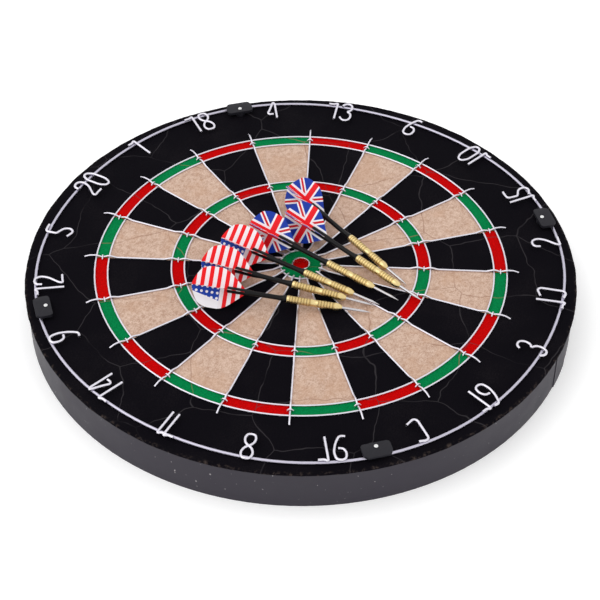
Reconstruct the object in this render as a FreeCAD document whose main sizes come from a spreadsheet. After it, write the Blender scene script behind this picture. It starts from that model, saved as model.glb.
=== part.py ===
import FreeCAD
import Part
import Sketcher
import math
import os

# Bristle dartboard lying on its back, with six darts resting on it. Millimetres.
# Origin at the centre of the back face, +Z out of the playing face, +Y towards the 20 bed.
# Angles round the board are counted clockwise from the 20, as seen from the front.

doc = FreeCAD.newDocument("Dartboard")
sheet = doc.addObject("Spreadsheet::Sheet", "Sizes")

DRIVING_SIZES = [
    # board
    ("boardRadius", 225.2, "back board and sisal inside the band"),
    ("backThickness", 12.0, "back board"),
    ("sisalThickness", 26.0, "sisal above the back board"),
    ("rimBulge", 2.4, "how far the sisal bulges out over the band"),
    ("rimRound", 1.6, "rounding of the sisal's front edge"),
    ("rimShoulder", 0.8, "height of the slope from the band out to the bulge"),
    ("bandSetback", 3.0, "front edge of the outer band behind the face"),
    ("bandThickness", 0.6, "sheet of the outer band"),
    ("lapAngle", 7.0, "degrees of band that lap at the seam"),
    ("seamAngle", 177.0, "where the seam is, clockwise from the 20"),
    ("hangHoleRadius", 2.0, "pilot hole for the hanging bolt"),
    ("hangHoleDepth", 10.0, "depth of the pilot hole"),
    # spider
    ("spiderWireRadius", 0.75, "round and radial wires"),
    ("doubleOuterRadius", 170.0, "centre line of the outer double wire"),
    ("bandPitch", 10.7, "centre to centre across a coloured band"),
    ("trebleOuterRadius", 107.0, "centre line of the outer treble wire"),
    ("bullWireRadius", 17.4, "centre line of the outer bull wire"),
    ("collarHoleRadius", 6.35, "inner bull"),
    ("collarWall", 1.2, "bull collar"),
    ("collarProud", 2.4, "how far the collar stands out of the face"),
    ("collarDepth", 8.0, "how far the collar goes into the sisal"),
    ("radialOverrun", 9.5, "radial wire beyond the outer double wire"),
    ("radialInnerGap", 1.4, "radial wire inside the outer bull wire"),
    ("rampLength", 6.3, "run in which a radial wire climbs over a round wire"),
    ("wireGap", 0.05, "clearance where wires cross"),
    ("stapleWireRadius", 0.6, "staples"),
    ("stapleSpan", 4.6, "between the centre lines of a staple's legs"),
    ("stapleDepth", 9.0, "staple legs below the face"),
    # number ring
    ("ringWireRadius", 1.2, "number ring"),
    ("ringBulge", 3.7, "how much further out the ring runs at a clip than midway"),
    ("hubRingGap", 0.6, "between a clip's hub and the ring"),
    ("ringArcOffset", 20.0, "centre of the arc at a clip, out from the board's centre"),
    ("ringLift", 0.15, "gap between the ring and the face"),
    ("numberWireRadius", 1.05, "number wires"),
    ("digitHeight", 24.0, "overall height of a digit's centre line"),
    ("digitWidth", 9.6, "overall width of a digit's centre line"),
    ("digitGap", 4.4, "between the two digits of a number"),
    ("numberTurn", 1.0, "degrees the numbers sit ahead of their beds, against the clock"),
    ("digitReach", 2.4, "how far a digit reaches past the ring"),
    # clips
    ("clipPinInset", 13.2, "pin circle of the clips, in from the board's edge"),
    ("clipHubRadius", 4.4, "hub inside the ring"),
    ("clipWidth", 23.0, "along the ring, at its inner edge"),
    ("clipOuterWidth", 18.5, "along the ring, at its outer edge"),
    ("clipInner", 4.2, "from the pin to the inner edge"),
    ("clipOuter", 9.2, "from the pin to the outer edge"),
    ("clipTaper", 5.4, "from the pin to where the sides start to taper"),
    ("clipPlate", 2.6, "thickness of the plate"),
    ("clipRingGap", 0.35, "between the ring and the clip"),
    ("clipRound", 2.8, "corner rounding of the clip"),
    ("pinShankRadius", 1.2, "clip pin"),
    ("pinFit", 0.1, "radial gap between the pin and the clip"),
    ("pinHeadRadius", 1.7, "head of the clip pin"),
    ("pinHeadHeight", 0.9, "head of the clip pin"),
    ("pinDepth", 16.0, "clip pin below the face"),
    # darts, lengths measured along the dart from the front of the barrel
    ("pointLength", 23.6, "steel point in front of the barrel"),
    ("pointRadius", 1.1, "steel point"),
    ("pointTaper", 7.0, "sharpened length"),
    ("pointShank", 10.0, "point inside the barrel"),
    ("barrelLength", 45.0, "barrel"),
    ("barrelRadius", 3.2, "barrel"),
    ("barrelNoseRadius", 1.7, "front end of the barrel"),
    ("barrelNoseLength", 5.0, "tapered front of the barrel"),
    ("barrelWaistRadius", 2.85, "plain band in the middle of the barrel"),
    ("barrelWaistLength", 5.0, "plain band in the middle of the barrel"),
    ("threadRadius", 1.9, "shaft thread in the barrel"),
    ("threadLength", 7.0, "shaft thread in the barrel"),
    ("shaftLength", 48.4, "shaft behind the barrel"),
    ("shaftFlangeRadius", 2.75, "shaft where it meets the barrel"),
    ("shaftWaistRadius", 2.0, "shaft at its thinnest"),
    ("shaftForkRadius", 2.6, "forked end of the shaft"),
    ("forkLength", 15.0, "forked end of the shaft"),
    ("slotDepth", 14.5, "slots in the forked end"),
    ("flightLength", 43.0, "flight"),
    ("flightWing", 17.0, "from the dart's axis to the edge of a wing"),
    ("flightSheet", 0.4, "flight"),
    ("flightNose", 2.9, "half width of a flight's front edge"),
    ("flightTail", 1.5, "half width where the flight's rear edge starts"),
    ("flightRound", 2.5, "rounding of a flight's corners"),
    ("dartClearance", 0.2, "between a resting dart and the wires below it"),
    ("flightRest", 113.0, "from the barrel's front to where the flight rests"),
]

# place of the front of each barrel and the way the dart points, in degrees from +X
DART_PLACES = [
    (27.4, -65.8, -108.5),
    (13.8, -84.8, -100.6),
    (1.8, -67.5, -93.4),
    (-12.9, -56.7, -87.3),
    (-20.7, -53.8, -75.3),
    (-32.1, -56.4, -67.4),
]

BED_ORDER = [20, 1, 18, 4, 13, 6, 10, 15, 2, 17, 3, 19, 7, 16, 8, 11, 14, 9, 12, 5]
READ_FROM_OUTSIDE = [10, 15, 2, 17, 3, 19, 7, 16, 8, 11]
CLIP_ANGLES = [45, 135, 225, 315]
BED_COUNT = len(BED_ORDER)
BED_STEP = 360 / BED_COUNT


class Size:
    """A length that carries both its value and the sheet expression that gives it."""

    def __init__(self, value, text):
        self.value = value
        self.text = text

    def __add__(self, other):
        other = asSize(other)
        return Size(self.value + other.value, f"({self.text} + {other.text})")

    def __sub__(self, other):
        other = asSize(other)
        return Size(self.value - other.value, f"({self.text} - {other.text})")

    def __mul__(self, other):
        other = asSize(other)
        return Size(self.value * other.value, f"({self.text} * {other.text})")

    def __neg__(self):
        return Size(-self.value, f"(0 - {self.text})")


def asSize(number):
    if isinstance(number, Size):
        return number
    return Size(float(number), f"{number}")


size = {}
for row, (alias, value, note) in enumerate(DRIVING_SIZES, start=1):
    sheet.set(f"A{row}", alias)
    sheet.set(f"B{row}", str(value))
    sheet.setAlias(f"B{row}", alias)
    sheet.set(f"C{row}", note)
    size[alias] = Size(value, f"{sheet.Name}.{alias}")
doc.recompute()

face = size["backThickness"] + size["sisalThickness"]
bandHeight = face - size["bandSetback"]
doubleInnerRadius = size["doubleOuterRadius"] - size["bandPitch"]
trebleInnerRadius = size["trebleOuterRadius"] - size["bandPitch"]
rimRadius = size["boardRadius"] + size["rimBulge"]
clipPinRadius = size["boardRadius"] - size["clipPinInset"]
ringClipRadius = clipPinRadius + size["clipHubRadius"] + size["hubRingGap"] + size["ringWireRadius"]
ringSideRadius = ringClipRadius - size["ringBulge"]
ringHeight = face + size["ringLift"] + size["ringWireRadius"]
platesBottom = size["ringLift"] + size["ringWireRadius"] * 2 + size["clipRingGap"]

nodes = []


def keep(feature, label):
    """Name a finished sub-part; the name is also its file's name."""
    feature.Label = label
    nodes.append(feature)
    return feature


# ---------------------------------------------------------------- helpers: bodies and sketches


def newBody(name):
    return doc.addObject("PartDesign::Body", name)


def originFeature(body, role):
    for feature in body.Origin.OriginFeatures:
        if feature.Role == role:
            return feature
    raise RuntimeError(f"{body.Name} has no {role}")


def newSketch(body, name, role, height=None):
    sketch = body.newObject("Sketcher::SketchObject", name)
    sketch.AttachmentSupport = [(originFeature(body, role), "")]
    sketch.MapMode = "FlatFace"
    if height is not None:
        sketch.AttachmentOffset = FreeCAD.Placement(
            FreeCAD.Vector(0, 0, height.value), FreeCAD.Rotation()
        )
        sketch.setExpression("AttachmentOffset.Base.z", height.text)
    return sketch


def bindPoint(sketch, geometry, end, x, y):
    """Hold one end of an edge at sheet-driven coordinates."""
    for kind, axis, place in (("DistanceX", -2, asSize(x)), ("DistanceY", -1, asSize(y))):
        if place.value == 0:
            sketch.addConstraint(Sketcher.Constraint("PointOnObject", geometry, end, axis))
        else:
            index = sketch.addConstraint(Sketcher.Constraint(kind, geometry, end, place.value))
            sketch.setExpression(f"Constraints[{index}]", place.text)


def drawOutline(sketch, corners):
    """Closed outline through the corners, each an (x, y) pair of sizes or numbers."""
    points = [FreeCAD.Vector(asSize(x).value, asSize(y).value, 0) for x, y in corners]
    count = len(points)
    edges = []
    for index in range(count):
        line = Part.LineSegment(points[index], points[(index + 1) % count])
        edges.append(sketch.addGeometry(line, False))
    for index in range(count):
        following = edges[(index + 1) % count]
        sketch.addConstraint(Sketcher.Constraint("Coincident", edges[index], 2, following, 1))
    for index, (x, y) in enumerate(corners):
        bindPoint(sketch, edges[index], 1, x, y)


def drawCircle(sketch, radius):
    circle = Part.Circle(FreeCAD.Vector(0, 0, 0), FreeCAD.Vector(0, 0, 1), radius.value)
    edge = sketch.addGeometry(circle, False)
    sketch.addConstraint(Sketcher.Constraint("Coincident", edge, 3, -1, 1))
    index = sketch.addConstraint(Sketcher.Constraint("Radius", edge, radius.value))
    sketch.setExpression(f"Constraints[{index}]", radius.text)


def pad(body, sketch, length, name, symmetric=False):
    feature = body.newObject("PartDesign::Pad", name)
    feature.Profile = sketch
    feature.Length = length.value
    feature.setExpression("Length", length.text)
    feature.Midplane = symmetric
    return feature


def pocket(body, sketch, length, name, symmetric=False, reversed=False):
    feature = body.newObject("PartDesign::Pocket", name)
    feature.Profile = sketch
    feature.Length = length.value
    feature.setExpression("Length", length.text)
    feature.Midplane = symmetric
    feature.Reversed = reversed
    return feature


def revolve(body, sketch, axis, name, kind="PartDesign::Revolution", angle=None):
    feature = body.newObject(kind, name)
    feature.Profile = sketch
    feature.ReferenceAxis = (sketch, [axis])
    feature.Angle = 360
    if angle is not None:
        feature.Angle = angle.value
        feature.setExpression("Angle", angle.text)
    return feature


def quarterTurnPattern(body, feature, name):
    """Repeat a feature once, a quarter turn on about the body's X axis."""
    pattern = body.newObject("PartDesign::PolarPattern", name)
    pattern.Originals = [feature]
    pattern.Axis = (originFeature(body, "X_Axis"), [""])
    pattern.Angle = 90
    pattern.Occurrences = 2
    body.Tip = pattern
    return pattern


def roundEdges(body, feature, radius, name, wanted):
    """Round the edges of a feature for which wanted(edge) is true."""
    doc.recompute()
    names = [
        f"Edge{index}"
        for index, edge in enumerate(feature.Shape.Edges, start=1)
        if wanted(edge)
    ]
    rounding = body.newObject("PartDesign::Fillet", name)
    rounding.Base = (feature, names)
    rounding.Radius = radius.value
    rounding.setExpression("Radius", radius.text)
    body.Tip = rounding
    return rounding


def turnedPlacement(angle, radius=0.0, height=0.0):
    """Placement at a clockwise angle from the 20, with local +Y pointing outwards."""
    turn = math.radians(angle)
    place = FreeCAD.Vector(radius * math.sin(turn), radius * math.cos(turn), height)
    return FreeCAD.Placement(place, FreeCAD.Rotation(FreeCAD.Vector(0, 0, 1), -angle))


# ---------------------------------------------------------------- helpers: bent wire


def bentPath(points, closed=False, largest=1e6):
    """Straight runs joined by tangent arcs, each as large as its two runs allow."""
    count = len(points)
    first = 0 if closed else 1
    last = count if closed else count - 1
    arcs = {}
    for index in range(first, last):
        corner = points[index]
        before = points[index - 1] - corner
        after = points[(index + 1) % count] - corner
        half = before.getAngle(after) / 2
        if abs(half - math.pi / 2) < 1e-6:
            continue
        trim = min(0.48 * min(before.Length, after.Length), largest / math.tan(half))
        radius = trim * math.tan(half)
        bisector = (before.normalize() + after.normalize()).normalize()
        middle = corner + bisector * (radius / math.sin(half) - radius)
        arcs[index] = (corner + before * trim, middle, corner + after * trim)
    edges = []
    runs = count if closed else count - 1
    for index in range(runs):
        following = (index + 1) % count
        start = arcs[index][2] if index in arcs else points[index]
        end = arcs[following][0] if following in arcs else points[following]
        if (end - start).Length > 1e-6:
            edges.append(Part.LineSegment(start, end).toShape())
        if following in arcs:
            edges.append(Part.Arc(*arcs[following]).toShape())
    return Part.Wire(Part.__sortEdges__(edges))


def sweepRound(path, radius):
    """Solid round wire along a path."""
    edge = path.OrderedEdges[0]
    start = edge.valueAt(edge.FirstParameter)
    tangent = edge.tangentAt(edge.FirstParameter)
    profile = Part.Wire([Part.makeCircle(radius, start, tangent)])
    solid = path.makePipeShell([profile], True, False)
    if solid.Volume < 0:
        solid.reverse()
    return solid


def addShape(name, shape, placement=None):
    feature = doc.addObject("Part::Feature", name)
    feature.Shape = shape
    if placement is not None:
        feature.Placement = placement
    return feature


# ---------------------------------------------------------------- board


def buildBackBoard():
    body = newBody("BackBoard")
    outline = newSketch(body, "BackBoardOutline", "XY_Plane")
    drawCircle(outline, size["boardRadius"])
    pad(body, outline, size["backThickness"], "BackBoardPad")
    hole = newSketch(body, "HangHoleOutline", "XY_Plane")
    drawCircle(hole, size["hangHoleRadius"])
    pocket(body, hole, size["hangHoleDepth"], "HangHole", reversed=True)
    return keep(body, "back_board")


def buildSisalDisc():
    body = newBody("SisalDisc")
    profile = newSketch(body, "SisalProfile", "XZ_Plane")
    drawOutline(profile, [
        (0, size["backThickness"]),
        (size["boardRadius"], size["backThickness"]),
        (size["boardRadius"], bandHeight),
        (rimRadius, bandHeight + size["rimShoulder"]),
        (rimRadius, face),
        (0, face),
    ])
    disc = revolve(body, profile, "V_Axis", "SisalRevolution")

    def isFrontRim(edge):
        box = edge.BoundBox
        flat = box.ZLength < 0.01 and abs(box.ZMax - face.value) < 0.01
        return flat and box.XMax > size["boardRadius"].value

    roundEdges(body, disc, size["rimRound"], "SisalRimRound", isFrontRim)
    seat = newSketch(body, "CollarSeatProfile", "XZ_Plane")
    inner = size["collarHoleRadius"]
    outer = inner + size["collarWall"]
    bottom = face - size["collarDepth"]
    drawOutline(seat, [(inner, bottom), (outer, bottom), (outer, face), (inner, face)])
    revolve(body, seat, "V_Axis", "CollarSeat", kind="PartDesign::Groove")
    return keep(body, "sisal_disc")


def buildOuterBand():
    body = newBody("OuterBand")
    strip = newSketch(body, "BandProfile", "XZ_Plane")
    inner = size["boardRadius"]
    outer = inner + size["bandThickness"]
    drawOutline(strip, [
        (inner, 0), (outer, 0), (outer, bandHeight), (inner, bandHeight),
    ])
    revolve(body, strip, "V_Axis", "BandStrip")
    lap = newSketch(body, "LapProfile", "XZ_Plane")
    lapOuter = outer + size["bandThickness"]
    drawOutline(lap, [
        (outer, 0), (lapOuter, 0), (lapOuter, bandHeight), (outer, bandHeight),
    ])
    revolve(body, lap, "V_Axis", "BandLap", angle=size["lapAngle"])
    turn = FreeCAD.Rotation(FreeCAD.Vector(0, 0, 1), 90 - size["seamAngle"].value)
    body.Placement = FreeCAD.Placement(FreeCAD.Vector(), turn)
    return keep(body, "outer_band")


# ---------------------------------------------------------------- spider


def roundWire(name, radius):
    torus = doc.addObject("Part::Torus", name)
    torus.Radius1 = radius.value
    torus.setExpression("Radius1", radius.text)
    torus.Radius2 = size["spiderWireRadius"].value
    torus.setExpression("Radius2", size["spiderWireRadius"].text)
    height = face + size["spiderWireRadius"]
    torus.Placement = FreeCAD.Placement(FreeCAD.Vector(0, 0, height.value), FreeCAD.Rotation())
    torus.setExpression("Placement.Base.z", height.text)
    return torus


def buildRoundWires():
    for name, label, radii in (
        ("DoubleWires", "double_wires", (size["doubleOuterRadius"], doubleInnerRadius)),
        ("TrebleWires", "treble_wires", (size["trebleOuterRadius"], trebleInnerRadius)),
    ):
        pair = doc.addObject("Part::Compound", name)
        pair.Links = [roundWire(f"{name}{side}", radius) for side, radius in zip("AB", radii)]
        keep(pair, label)
    keep(roundWire("OuterBullWire", size["bullWireRadius"]), "outer_bull_wire")


def buildBullCollar():
    body = newBody("BullCollar")
    profile = newSketch(body, "CollarProfile", "XZ_Plane")
    inner = size["collarHoleRadius"]
    outer = inner + size["collarWall"]
    bottom = face - size["collarDepth"]
    top = face + size["collarProud"]
    drawOutline(profile, [(inner, bottom), (outer, bottom), (outer, top), (inner, top)])
    collar = revolve(body, profile, "V_Axis", "CollarTube")

    def isTopEdge(edge):
        box = edge.BoundBox
        return box.ZLength < 0.01 and abs(box.ZMax - top.value) < 0.01

    roundEdges(body, collar, size["collarWall"] * 0.4, "CollarLipRound", isTopEdge)
    return keep(body, "bull_collar")


def radialWireHeights():
    """(radius, height of the centre line above the face) along one radial wire."""
    wire = size["spiderWireRadius"].value
    ramp = size["rampLength"].value
    low = wire
    crossing = 3 * wire + size["wireGap"].value
    bend = wire * 0.35
    high = crossing + bend
    bull = size["bullWireRadius"].value
    trebleInner, trebleOuter = trebleInnerRadius.value, size["trebleOuterRadius"].value
    doubleInner, doubleOuter = doubleInnerRadius.value, size["doubleOuterRadius"].value
    dip = low + size["wireGap"].value
    return [
        (bull - size["radialInnerGap"].value, crossing - bend),
        (bull, high),
        (bull + ramp, low),
        (trebleInner - ramp, low),
        (trebleInner, high),
        ((trebleInner + trebleOuter) / 2, dip),
        (trebleOuter, high),
        (trebleOuter + ramp, low),
        (doubleInner - ramp, low),
        (doubleInner, high),
        ((doubleInner + doubleOuter) / 2, dip),
        (doubleOuter, high),
        (doubleOuter + 0.55 * size["radialOverrun"].value, high - bend),
        (doubleOuter + size["radialOverrun"].value, low),
    ]


def buildRadialWires():
    points = [FreeCAD.Vector(0, radius, height) for radius, height in radialWireHeights()]
    largestBend = 5 * size["spiderWireRadius"].value
    wire = sweepRound(bentPath(points, largest=largestBend), size["spiderWireRadius"].value)
    copies = []
    for index in range(BED_COUNT):
        copy = wire.copy()
        copy.Placement = turnedPlacement((index + 0.5) * BED_STEP, height=face.value)
        copies.append(copy)
    return keep(addShape("RadialWires", Part.makeCompound(copies)), "radial_wires")


def buildStaples():
    """One small staple over each radial wire, in the middle of each coloured band."""
    wire = size["spiderWireRadius"].value
    radius = size["stapleWireRadius"].value
    half = size["stapleSpan"].value / 2
    crown = 2 * wire + 2 * size["wireGap"].value + radius + wire * 0.2
    depth = size["stapleDepth"].value
    points = [
        FreeCAD.Vector(-half, 0, -depth),
        FreeCAD.Vector(-half, 0, crown * 0.35),
        FreeCAD.Vector(-half * 0.35, 0, crown),
        FreeCAD.Vector(half * 0.35, 0, crown),
        FreeCAD.Vector(half, 0, crown * 0.35),
        FreeCAD.Vector(half, 0, -depth),
    ]
    staple = sweepRound(bentPath(points, largest=1.5 * radius), radius)
    copies = []
    for outerRadius in (size["trebleOuterRadius"].value, size["doubleOuterRadius"].value):
        middle = outerRadius - size["bandPitch"].value / 2
        for index in range(BED_COUNT):
            copy = staple.copy()
            copy.Placement = turnedPlacement((index + 0.5) * BED_STEP, middle, face.value)
            copies.append(copy)
    return keep(addShape("Staples", Part.makeCompound(copies)), "staples")


# ---------------------------------------------------------------- number ring


def buildNumberRing():
    """Closed loop of eight tangent arcs, a little further out at the four clips."""
    side = ringSideRadius.value
    clip = ringClipRadius.value
    out = size["ringArcOffset"].value
    across = out / math.sqrt(2)
    gain = side - clip + out
    back = (gain ** 2 - out ** 2) / (2 * across - 2 * gain)
    sideRadius = side + back
    clipRadius = clip - out
    reach = math.atan2(across, across + back)

    def onArc(centre, radius, angle):
        return centre + FreeCAD.Vector(radius * math.cos(angle), radius * math.sin(angle), 0)

    edges = []
    for quarter in range(4):
        start = quarter * math.pi / 2
        sideCentre = FreeCAD.Vector(-back * math.cos(start), -back * math.sin(start), 0)
        middle = start + math.pi / 4
        clipCentre = FreeCAD.Vector(out * math.cos(middle), out * math.sin(middle), 0)
        join = onArc(sideCentre, sideRadius, start + reach)
        edges.append(Part.Arc(
            onArc(sideCentre, sideRadius, start - reach), onArc(sideCentre, sideRadius, start), join,
        ).toShape())
        edges.append(Part.Arc(
            join,
            onArc(clipCentre, clipRadius, middle),
            onArc(clipCentre, clipRadius, start + math.pi / 2 - reach),
        ).toShape())
    ring = sweepRound(Part.Wire(edges), size["ringWireRadius"].value)
    place = FreeCAD.Placement(FreeCAD.Vector(0, 0, ringHeight.value), FreeCAD.Rotation())
    return keep(addShape("NumberRing", ring, place), "number_ring")


# Each digit is one or more strokes; a stroke is (closed, points), and a point is (across, up),
# where across runs from -0.5 to 0.5 over the digit's width and up from 0 to 1 over its height.
# RING is the height at which the number ring passes under the digit.
def digitStrokes(digit, ring, footSide):
    hook = 1.0 if ring > 0.5 else 0.0
    if digit == 0:
        return [(True, [(-0.5, 0.22), (-0.5, 0.78), (-0.2, 1), (0.2, 1),
                        (0.5, 0.78), (0.5, 0.22), (0.2, 0), (-0.2, 0)])]
    if digit == 1:
        return [(False, [(footSide * 0.8, ring), (footSide * 0.3, ring), (0, hook), (0, 1 - hook)])]
    if digit == 2:
        return [(False, [(-0.5, 0.74), (-0.45, 0.93), (-0.12, 1), (0.3, 0.97), (0.5, 0.78),
                         (0.3, 0.52), (-0.42, 0.16), (-0.48, 0.03), (-0.1, 0.05), (0.5, 0.05)])]
    if digit == 3:
        return [(False, [(-0.5, 0.84), (-0.25, 1), (0.25, 1), (0.47, 0.82), (0.36, 0.6),
                         (0.02, 0.53), (0.4, 0.44), (0.5, 0.2), (0.25, 0), (-0.25, 0),
                         (-0.5, 0.16)])]
    if digit == 4:
        return [(False, [(0.03, 0.27), (-0.36, 0.26), (-0.5, 0.34), (-0.34, 0.46), (0.16, 0.97),
                         (0.3, 0.9), (0.3, 0)])]
    if digit == 5:
        return [(False, [(0.5, 0.93), (0.1, 0.95), (-0.4, 0.95), (-0.5, 0.56), (-0.28, 0.5),
                         (0.26, 0.36), (0.3, 0.1), (-0.1, 0), (-0.75, 0.16)])]
    if digit == 6:
        return [(False, [(0.6, 0.96), (0.15, 1), (-0.26, 0.72), (-0.5, 0.34), (-0.38, 0.07),
                         (0, 0), (0.38, 0.06), (0.5, 0.28), (0.3, 0.47), (-0.1, 0.5)])]
    if digit == 7:
        return [(False, [(-0.6, 0.86), (0.16, 1), (0.42, 0.9), (0.36, 0.0),
                         (footSide * 0.5, ring)])]
    if digit == 8:
        half = [(0, 1), (-0.3, 0.98), (-0.46, 0.8), (-0.3, 0.6), (0.32, 0.42), (0.5, 0.2),
                (0.32, 0.02), (0, 0)]
        return [(False, half), (False, [(-across, up) for across, up in half])]
    six = digitStrokes(6, 1 - ring, footSide)[0][1]
    return [(False, [(-across, 1 - up) for across, up in six])]


def digitSolid(digit, shift, angle, inwardTop, footSide):
    """One digit in bent wire, welded on top of the ring."""
    height = size["digitHeight"].value
    width = size["digitWidth"].value
    reach = size["digitReach"].value
    ringRadius = (ringSideRadius.value + ringClipRadius.value) / 2
    ringShare = reach / height if inwardTop else 1 - reach / height
    way = -1 if inwardTop else 1
    solids = []
    for closed, points in digitStrokes(digit, ringShare, footSide):
        places = []
        for across, up in points:
            radial = ringRadius + way * (up - ringShare) * height
            along = way * (across * width + shift)
            places.append(FreeCAD.Vector(along, radial, 0))
        path = bentPath(places, closed)
        solids.append(sweepRound(path, size["numberWireRadius"].value))
    solid = solids[0]
    for other in solids[1:]:
        solid = solid.fuse(other)
    if len(solids) > 1:
        solid = solid.removeSplitter()
    level = ringHeight.value + size["ringWireRadius"].value + size["numberWireRadius"].value
    solid.Placement = turnedPlacement(angle, height=level)
    return solid


def digitAdvance(digit):
    return size["digitWidth"].value * (0.1 if digit == 1 else 1)


def buildNumbers():
    for index, number in enumerate(BED_ORDER):
        digits = [int(letter) for letter in str(number)]
        inwardTop = number in READ_FROM_OUTSIDE
        footSide = 1 if number == 11 else -1
        widths = [digitAdvance(digit) for digit in digits]
        total = sum(widths) + size["digitGap"].value * (len(digits) - 1)
        cursor = -total / 2
        solids = []
        for digit, width in zip(digits, widths):
            shift = cursor + width / 2
            angle = index * BED_STEP - size["numberTurn"].value
            solids.append(digitSolid(digit, shift, angle, inwardTop, footSide))
            cursor += width + size["digitGap"].value
        keep(addShape(f"Number{number}", Part.makeCompound(solids)), f"number_{number}")


# ---------------------------------------------------------------- clips


def buildClip(number, angle):
    body = newBody(f"Clip{number}")
    hub = newSketch(body, f"ClipHubOutline{number}", "XY_Plane")
    drawCircle(hub, size["clipHubRadius"])
    pad(body, hub, platesBottom, f"ClipHub{number}")
    plate = newSketch(body, f"ClipPlateOutline{number}", "XY_Plane", height=platesBottom)
    inner = size["clipWidth"] * 0.5
    outer = size["clipOuterWidth"] * 0.5
    drawOutline(plate, [
        (-inner, -size["clipInner"]),
        (inner, -size["clipInner"]),
        (inner, size["clipTaper"]),
        (outer, size["clipOuter"]),
        (-outer, size["clipOuter"]),
        (-inner, size["clipTaper"]),
    ])
    top = pad(body, plate, size["clipPlate"], f"ClipPlate{number}")

    def isPlateCorner(edge):
        box = edge.BoundBox
        upright = box.XLength < 0.01 and box.YLength < 0.01
        return upright and abs(box.XMax) > size["clipHubRadius"].value + 1

    roundEdges(body, top, size["clipRound"], f"ClipCornerRound{number}", isPlateCorner)
    hole = newSketch(body, f"ClipHoleOutline{number}", "XY_Plane")
    drawCircle(hole, size["pinShankRadius"] + size["pinFit"])
    pocket(body, hole, platesBottom + size["clipPlate"], f"ClipHole{number}", reversed=True)
    body.Placement = turnedPlacement(angle, clipPinRadius.value, face.value)
    return keep(body, f"clip_{number}")


def buildClipPins():
    """Nails that the clips turn on, driven into the sisal."""
    top = platesBottom.value + size["clipPlate"].value + size["pinFit"].value
    depth = size["pinDepth"].value
    shank = Part.makeCylinder(
        size["pinShankRadius"].value, depth + top, FreeCAD.Vector(0, 0, -depth)
    )
    head = Part.makeCylinder(
        size["pinHeadRadius"].value, size["pinHeadHeight"].value, FreeCAD.Vector(0, 0, top)
    )
    crown = head.Edges[0]
    for edge in head.Edges:
        if edge.BoundBox.ZMin > crown.BoundBox.ZMin:
            crown = edge
    head = head.makeFillet(size["pinHeadHeight"].value * 0.6, [crown])
    pin = shank.fuse(head)
    copies = []
    for angle in CLIP_ANGLES:
        copy = pin.copy()
        copy.Placement = turnedPlacement(angle, clipPinRadius.value, face.value)
        copies.append(copy)
    return keep(addShape("ClipPins", Part.makeCompound(copies)), "clip_pins")


# ---------------------------------------------------------------- darts
# Each piece is made along its own X axis: zero at the front of the barrel, the point towards +X.


def buildPoint(number):
    body = newBody(f"DartPoint{number}")
    profile = newSketch(body, f"PointProfile{number}", "XZ_Plane")
    radius = size["pointRadius"]
    drawOutline(profile, [
        (-size["pointShank"], 0),
        (size["pointLength"], 0),
        (size["pointLength"] - size["pointTaper"], radius),
        (-size["pointShank"], radius),
    ])
    revolve(body, profile, "H_Axis", f"PointRevolution{number}")
    return body


def buildBarrel(number):
    body = newBody(f"DartBarrel{number}")
    profile = newSketch(body, f"BarrelProfile{number}", "XZ_Plane")
    radius = size["barrelRadius"]
    waist = size["barrelWaistRadius"]
    rear = -size["barrelLength"]
    gripFront = -size["barrelNoseLength"]
    middle = size["barrelLength"] * -0.5
    step = size["barrelRadius"] - size["barrelWaistRadius"]
    waistFront = middle + size["barrelWaistLength"] * 0.5
    waistRear = middle - size["barrelWaistLength"] * 0.5
    drawOutline(profile, [
        (0, size["pointRadius"]),
        (0, size["barrelNoseRadius"]),
        (gripFront, radius),
        (waistFront, radius),
        (waistFront - step, waist),
        (waistRear + step, waist),
        (waistRear, radius),
        (rear + step, radius),
        (rear, waist),
        (rear, size["threadRadius"]),
        (rear + size["threadLength"], size["threadRadius"]),
        (rear + size["threadLength"], 0),
        (-size["pointShank"], 0),
        (-size["pointShank"], size["pointRadius"]),
    ])
    revolve(body, profile, "H_Axis", f"BarrelRevolution{number}")
    return body


def buildShaft(number):
    body = newBody(f"DartShaft{number}")
    profile = newSketch(body, f"ShaftProfile{number}", "XZ_Plane")
    front = -size["barrelLength"]
    rear = front - size["shaftLength"]
    fork = size["shaftForkRadius"]
    drawOutline(profile, [
        (front + size["threadLength"], 0),
        (front + size["threadLength"], size["threadRadius"]),
        (front, size["threadRadius"]),
        (front, size["shaftFlangeRadius"]),
        (front - size["shaftFlangeRadius"], size["shaftFlangeRadius"]),
        (front - size["shaftFlangeRadius"] * 3, size["shaftWaistRadius"]),
        (rear + size["forkLength"] + fork * 3, size["shaftWaistRadius"]),
        (rear + size["forkLength"], fork),
        (rear, fork),
        (rear, 0),
    ])
    revolve(body, profile, "H_Axis", f"ShaftRevolution{number}")
    slot = newSketch(body, f"SlotOutline{number}", "XZ_Plane")
    half = size["flightSheet"] * 0.5
    drawOutline(slot, [
        (rear - 1, -half),
        (rear + size["slotDepth"], -half),
        (rear + size["slotDepth"], half),
        (rear - 1, half),
    ])
    cut = pocket(body, slot, fork * 4, f"ShaftSlot{number}", symmetric=True)
    quarterTurnPattern(body, cut, f"ShaftSlots{number}")
    return body


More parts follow.
